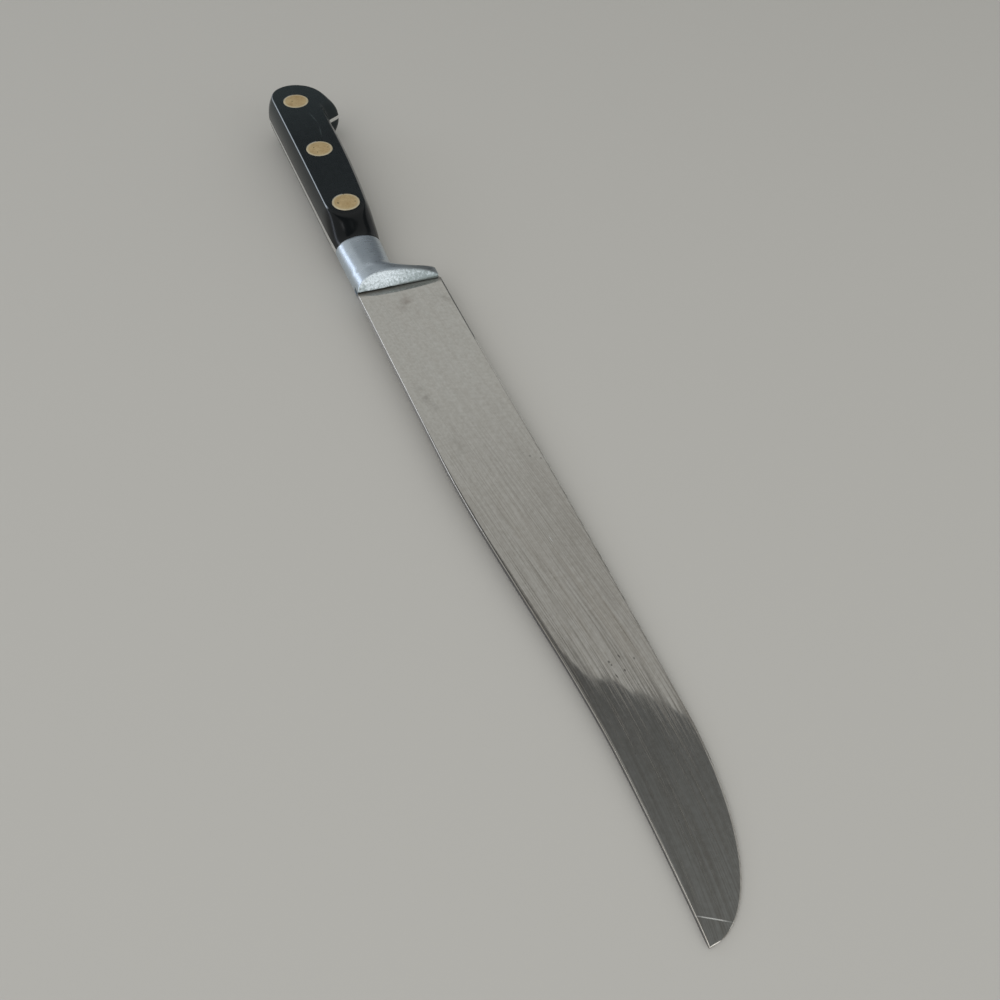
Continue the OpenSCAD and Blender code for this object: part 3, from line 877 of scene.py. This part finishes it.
def buffed_black_acetal():
    """Black acetal, shaped and buffed: glossy round the sides, and satin on the flats from years of
    handling."""
    material, tree = start_material("buffed_black_acetal")
    place, x, y, z = knife_place(tree)
    height = add(tree, "ShaderNodeMath", {0: z}, operation="ABSOLUTE")
    flat = add(tree, "ShaderNodeMapRange", {
        "Value": height, "From Min": FLAT_Z - 0.12, "From Max": FLAT_Z - 0.02,
    })
    haze = add(tree, "ShaderNodeTexNoise", {
        "Vector": place, "Scale": 1 / 2.5, "Detail": 5, "Roughness": 0.6,
    })
    # Fine rub marks a little across the handle, and two longer scratches in line
    grid = add(tree, "ShaderNodeMapping", {
        "Vector": place, "Rotation": (0, 0, 0.3), "Scale": (1 / 9, 1 / 0.4, 1 / 2),
    })
    rubs = add(tree, "ShaderNodeTexNoise", {"Vector": grid, "Scale": 1, "Detail": 3})
    rubs = add(tree, "ShaderNodeMapRange", {
        "Value": rubs, "From Min": 0.58, "From Max": 0.75, "To Max": 0.25,
    })
    back_scratch = mark(tree, place, (-89, 3.1), (5.5, 0.16), 10, FLAT_Z)
    front_scratch = mark(tree, place, (-79.5, 3.2), (5, 0.13), -8, FLAT_Z)
    scratch = add(tree, "ShaderNodeMath", {0: back_scratch, 1: front_scratch}, operation="MAXIMUM")
    rough = add(tree, "ShaderNodeMapRange", {
        "Value": haze, "From Min": 0.3, "From Max": 0.7, "To Min": 0.12, "To Max": 0.22,
    })
    rough = add(tree, "ShaderNodeMath", {0: flat, 1: 0.1, 2: rough}, operation="MULTIPLY_ADD")
    rough = add(tree, "ShaderNodeMath", {0: rubs, 1: flat, 2: rough}, operation="MULTIPLY_ADD")
    colour = add(tree, "ShaderNodeMix", {"Factor": haze, "A": linear("#101618"), "B": linear("#171e21")},
                 data_type="RGBA")
    # Painted shade, deep black, over the concave front end, and greyer towards the butt
    front_end_shade = add(tree, "ShaderNodeMapRange", {"Value": x, "From Min": -38, "From Max": -32, "To Max": 0.8})
    butt_grey = add(tree, "ShaderNodeMapRange", {"Value": x, "From Min": -75, "From Max": -108, "To Max": 0.6})
    # Painted highlight, partly wear: a pale line along the edge of the flats, on the spine side only, where
    # the window light falls
    rise = add(tree, "ShaderNodeMapRange", {
        "Value": height, "From Min": FLAT_Z - 0.3, "From Max": FLAT_Z - 0.16,
    })
    fall = add(tree, "ShaderNodeMapRange", {
        "Value": height, "From Min": FLAT_Z - 0.05, "From Max": FLAT_Z - 0.01, "To Min": 1, "To Max": 0,
    })
    spine_side = add(tree, "ShaderNodeMath", {0: y, 1: 0}, operation="LESS_THAN")
    behind = add(tree, "ShaderNodeMapRange", {"Value": x, "From Min": -35.2, "From Max": -36.6})
    butt = add(tree, "ShaderNodeMapRange", {
        "Value": x, "From Min": BUTT_X + 2, "From Max": BUTT_X + 12, "To Min": 0.25,
    })
    edge_highlight = rise
    for limit in (fall, spine_side, behind, butt):
        edge_highlight = add(tree, "ShaderNodeMath", {0: edge_highlight, 1: limit}, operation="MULTIPLY")
    for share, shade in ((front_end_shade, "#050607"), (butt_grey, "#2a3334"), (edge_highlight, "#a9b2bb"), (scratch, "#4d5757")):
        colour = add(tree, "ShaderNodeMix", {"Factor": share, "A": colour, "B": linear(shade)},
                     data_type="RGBA")
    shader = add(tree, "ShaderNodeBsdfPrincipled", {"Base Color": colour, "Roughness": rough, "IOR": 1.32})
    add(tree, "ShaderNodeOutputMaterial", {"Surface": shader})
    return material


def ground_brass():
    """Brass heads, ground flush with the scales and dulled by handling, with a paler rim and a few dark
    pits."""
    material, tree = start_material("ground_brass")
    place, x, y, _ = knife_place(tree)
    pitch = rivet_xs[0] - rivet_xs[1]
    local_x = add(tree, "ShaderNodeMath", {0: x, 1: rivet_xs[0] - pitch / 2, 2: rivet_xs[0] + pitch / 2},
                  operation="WRAP")
    local_x = add(tree, "ShaderNodeMath", {0: local_x, 1: rivet_xs[0]}, operation="SUBTRACT")
    spoke = add(tree, "ShaderNodeCombineXYZ", {"X": local_x, "Y": y})
    radius = add(tree, "ShaderNodeVectorMath", {0: spoke}, operation="LENGTH").outputs["Value"]
    # Painted highlight: a paler rim round each head, where its eased edge catches the light
    rim = add(tree, "ShaderNodeMapRange", {"Value": radius, "From Min": 3.5, "From Max": 4.2, "To Max": 0.8},
              interpolation_type="SMOOTHSTEP")
    grain = add(tree, "ShaderNodeTexNoise", {"Vector": place, "Scale": 1 / 0.6, "Detail": 4})
    cloud = add(tree, "ShaderNodeTexNoise", {"Vector": place, "Scale": 1 / 3, "Detail": 3})
    tint = add(tree, "ShaderNodeMix", {"Factor": 0.5, "A": grain, "B": cloud})
    tint = add(tree, "ShaderNodeMapRange", {"Value": tint, "From Min": 0.35, "From Max": 0.65})
    colour = add(tree, "ShaderNodeMix", {"Factor": tint, "A": linear("#d6b988"), "B": linear("#eed9ac")},
                 data_type="RGBA")
    pits = add(tree, "ShaderNodeTexVoronoi", {"Vector": place, "Scale": 1 / 2.4})
    pit = add(tree, "ShaderNodeMath", {0: pits.outputs["Distance"], 1: 0.1}, operation="LESS_THAN")
    for centre, size in (((-37.2, -2.6), (0.9, 0.5)), ((-69.2, 3), (0.4, 0.4))):
        spot = mark(tree, place, centre, size, 0, FLAT_Z)
        pit = add(tree, "ShaderNodeMath", {0: pit, 1: spot}, operation="MAXIMUM")
    for share, shade in ((rim, "#f2e8cc"), (pit, "#7d6a48")):
        colour = add(tree, "ShaderNodeMix", {"Factor": share, "A": colour, "B": linear(shade)},
                     data_type="RGBA")
    rough = add(tree, "ShaderNodeMapRange", {"Value": grain, "To Min": 0.5, "To Max": 0.65})
    bump = add(tree, "ShaderNodeBump", {"Height": grain, "Distance": 0.006 * MM, "Strength": 1})
    shader = add(tree, "ShaderNodeBsdfPrincipled", {
        "Base Color": colour, "Metallic": 1, "Roughness": rough, "Normal": bump,
    })
    add(tree, "ShaderNodeOutputMaterial", {"Surface": shader})
    return material


def plain_paper():
    """The floor: plain matt paper, off-white."""
    material, tree = start_material("plain_paper")
    shader = add(tree, "ShaderNodeBsdfPrincipled", {"Base Color": linear("#b9b7b1"), "Roughness": 0.9})
    add(tree, "ShaderNodeOutputMaterial", {"Surface": shader})
    return material


def glowing_reflection_panels():
    """The flags: panels that glow an uneven grey of their own, though they are no lamps, and that only
    reflections see: painted reflections of a dim surround.
    """
    material, tree = start_material("glowing_reflection_panels")
    _, x, y, _ = knife_place(tree)
    along = add(tree, "ShaderNodeMapRange", {"Value": x, "From Min": -60, "From Max": 180})
    grey = add(tree, "ShaderNodeMix", {"Factor": along, "A": linear("#696b6c"), "B": linear("#818485")},
               data_type="RGBA")
    # Lighter where the rolled-off back of the tip half reflects it
    near = add(tree, "ShaderNodeMapRange", {"Value": y, "From Min": 122, "From Max": 85})
    front = add(tree, "ShaderNodeMapRange", {"Value": x, "From Min": -140, "From Max": -70})
    ends = add(tree, "ShaderNodeMapRange", {"Value": y, "From Min": 20, "From Max": 50})
    light = add(tree, "ShaderNodeMath", {0: near, 1: front}, operation="MULTIPLY")
    light = add(tree, "ShaderNodeMath", {0: light, 1: ends}, operation="MULTIPLY")
    grey = add(tree, "ShaderNodeMix", {"Factor": light, "A": grey, "B": linear("#b0b2b2")}, data_type="RGBA")
    panel = add(tree, "ShaderNodeEmission", {"Color": grey, "Strength": 1})
    add(tree, "ShaderNodeOutputMaterial", {"Surface": panel})
    return material


# Studio

CAMERA_AT = (198.3, -51.3, 173.5)
CAMERA_AIM = (86.6, 3.7, 0)
CAMERA_ROLL = math.radians(4.56)
FOCAL_PX = 830
FRAME_PX = 1000
SENSOR_W = 36


def make_camera():
    at = Vector(CAMERA_AT)
    back = (at - Vector(CAMERA_AIM)).normalized()
    level = Vector((0, 0, 1)).cross(back).normalized()
    plumb = back.cross(level)
    right = level * math.cos(CAMERA_ROLL) + plumb * math.sin(CAMERA_ROLL)
    turn = Matrix((right, back.cross(right), back)).transposed().to_4x4()
    data = bpy.data.cameras.new("camera")
    data.sensor_width = SENSOR_W
    data.lens = SENSOR_W * FOCAL_PX / FRAME_PX
    data.clip_start = 0.01
    camera = bpy.data.objects.new("camera", data)
    camera.matrix_world = Matrix.Translation(at * MM + knife_origin) @ turn
    bpy.context.scene.collection.objects.link(camera)
    bpy.context.scene.camera = camera


def make_floor():
    """The floor meets the front end of the far flat and the underside of the tip, where the knife rests."""
    flat_front, tip_back = -29, 1.5
    front_rest = (flat_front, -FLAT_Z)
    tip_rest = (TIP_X - tip_back, -TIP_TH / 2)
    slope = (tip_rest[1] - front_rest[1]) / (tip_rest[0] - front_rest[0])
    reach = 8000
    corners = [
        (x, y, front_rest[1] + slope * (x - front_rest[0]))
        for x, y in ((-reach, -reach), (reach, -reach), (reach, reach), (-reach, reach))
    ]
    floor = new_piece("floor", corners, [(0, 1, 2, 3)], None)
    floor.data.materials.append(plain_paper())


def make_flags():
    """A panel overhead, whose slanting edge shows across the blade, one beyond it, which darkens the blade's
    sharp edge, and one upright behind the handle."""
    over, far, low, top = 592, -1260, -60, 960
    edge = ((-460, -79), (-150, 152), (-95, 174), (-80, 228), (-45, 274), (5, 314), (340, 589))
    rest = ((900, 589), (900, -200), (-460, -200))
    beyond = ((-900, 600), (20, 600), (20, 1250), (-900, 1250))
    panels = [
        [(x, y, over) for x, y in edge + rest],
        [(far, y, z) for y, z in ((-230, low), (1300, low), (1300, top), (-230, top))],
        [(x, y, over) for x, y in beyond],
    ]
    points, faces = [], []
    for panel in panels:
        faces.append(tuple(range(len(points), len(points) + len(panel))))
        points += panel
    flags = new_piece("flags", points, faces, None)
    flags.data.materials.append(glowing_reflection_panels())
    flags.visible_camera = False
    flags.visible_diffuse = False
    flags.visible_shadow = False


def soft_light(name, azimuth, elevation, distance, size, radiance, tint):
    """An area lamp that faces the knife, as bright to the eye as the given radiance."""
    data = bpy.data.lights.new(name, "AREA")
    data.shape = "RECTANGLE"
    data.size, data.size_y = size
    data.color = linear(tint)[:3]
    data.energy = radiance * math.pi * size[0] * size[1]
    a, e = math.radians(azimuth), math.radians(elevation)
    away = Vector((math.cos(e) * math.cos(a), math.cos(e) * math.sin(a), math.sin(e)))
    lamp = bpy.data.objects.new(name, data)
    lamp.location = away * distance
    lamp.rotation_euler = away.to_track_quat("Z", "Y").to_euler()
    bpy.context.scene.collection.objects.link(lamp)


def make_world():
    world = bpy.data.worlds.new("studio")
    world.use_nodes = True
    bpy.context.scene.world = world
    world.node_tree.nodes.clear()
    sky = add(world.node_tree, "ShaderNodeBackground", {"Color": linear("#c0c1c0"), "Strength": 1})
    add(world.node_tree, "ShaderNodeOutputWorld", {"Surface": sky})


make_camera()
acetal = buffed_black_acetal()
make_blade(ground_stainless_steel(), belt_ground_spine())
make_bolster(sanded_cast_alloy(), raw_cast_alloy())
make_scale("scale_near", "near_scale", 1, acetal)
make_scale("scale_far", "far_scale", -1, acetal)
make_rivets(ground_brass())
make_floor()
make_flags()
make_world()
soft_light("window", -131, 17, 1.2, (0.8, 0.2), 2.15, "#e4ecff")
soft_light("side_key", -58, 55, 1.2, (0.9, 1.2), 1.35, "#fcfcff")
soft_light("front_fill", 15, 28, 1.4, (1.6, 0.8), 1.15, "#fdfdff")

bpy.context.scene.view_settings.view_transform = "Standard"
